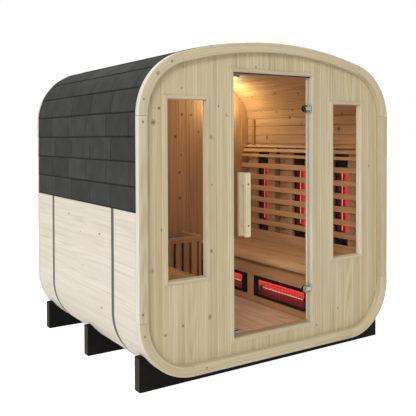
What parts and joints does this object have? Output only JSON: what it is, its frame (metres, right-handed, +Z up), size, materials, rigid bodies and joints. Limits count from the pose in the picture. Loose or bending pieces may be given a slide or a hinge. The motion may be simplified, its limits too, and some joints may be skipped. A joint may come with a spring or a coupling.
{
  "type": "sauna_cabin",
  "caption": "Round-cornered cube sauna cabin of timber staves on cradles, with a glass door, side windows, shingle roofing, benches and infrared backrest.",
  "frame": {"origin": "centre of the footprint, on the ground", "axes": "+X to the right across the front, -Y out of the front door, +Z up"},
  "size_m": [2.11, 1.78, 2.1448],
  "materials": {
    "stave_wood": "planed spruce, clear oil",
    "ring_wood": "planed pine, clear oil",
    "board_wood": "planed pine, clear oil",
    "interior_wood": "planed thermo-treated wood",
    "handle_wood": "sanded, oiled",
    "cradle_wood": "black stain",
    "shingle": "mineral granules on felt",
    "band_steel": "galvanised",
    "hinge_steel": "satin",
    "catch_plastic": "moulded",
    "clear_glass": "clear",
    "emitter_black": "matt black",
    "heater_steel": "brushed",
    "stone": "rough stone",
    "lamp_shade": "frosted glass"
  },
  "bodies": {
    "cabin": {"cradle_front": "cradle_wood", "cradle_middle": "cradle_wood", "cradle_rear": "cradle_wood", "shell_floor": "stave_wood", "shell_corners_low": "stave_wood", "shell_sides": "stave_wood", "shell_corners_high": "stave_wood", "shell_roof": "stave_wood", "ring_front_rails": "ring_wood", "ring_front_sides": "ring_wood", "ring_front_corners": "ring_wood", "ring_rear_rails": "ring_wood", "ring_rear_sides": "ring_wood", "ring_rear_corners": "ring_wood", "front_wall_left": "board_wood", "front_wall_right": "board_wood", "front_wall_over_door": "board_wood", "front_wall_under_door": "board_wood", "back_wall": "board_wood", "door_jambs": "ring_wood", "door_head": "ring_wood", "door_sill": "ring_wood", "window_frame_left": "ring_wood", "window_frame_right": "ring_wood", "window_pane_left": "clear_glass", "window_pane_right": "clear_glass", "steel_bands": "band_steel", "roofing_left": "shingle", "roofing_right": "shingle", "ridge_cap": "shingle", "floor_deck": "interior_wood", "bench_left": "interior_wood", "bench_right": "interior_wood", "skirt_left": "interior_wood", "skirt_right": "interior_wood", "skirt_heaters": "emitter_black", "backrest_ribs": "interior_wood", "backrest_rails": "interior_wood", "infrared_emitters": "emitter_black", "heater_guard": "interior_wood", "sauna_heater": "heater_steel", "heater_stones": "stone", "wall_lamp": "lamp_shade", "cable_strip": "interior_wood", "hinge_brackets": "hinge_steel", "door_catches": "catch_plastic"},
    "door": {"door_glass": "clear_glass", "hinge_clamps": "hinge_steel", "handle_outer": "handle_wood", "handle_inner": "handle_wood"}
  },
  "joints": [
    {"name": "door_hinge", "type": "hinge", "parent": "cabin", "child": "door", "pos_m": [0.314, -0.847, 1.087], "axis": [0, 0, 1], "range_deg": [0, 100]}
  ]
}
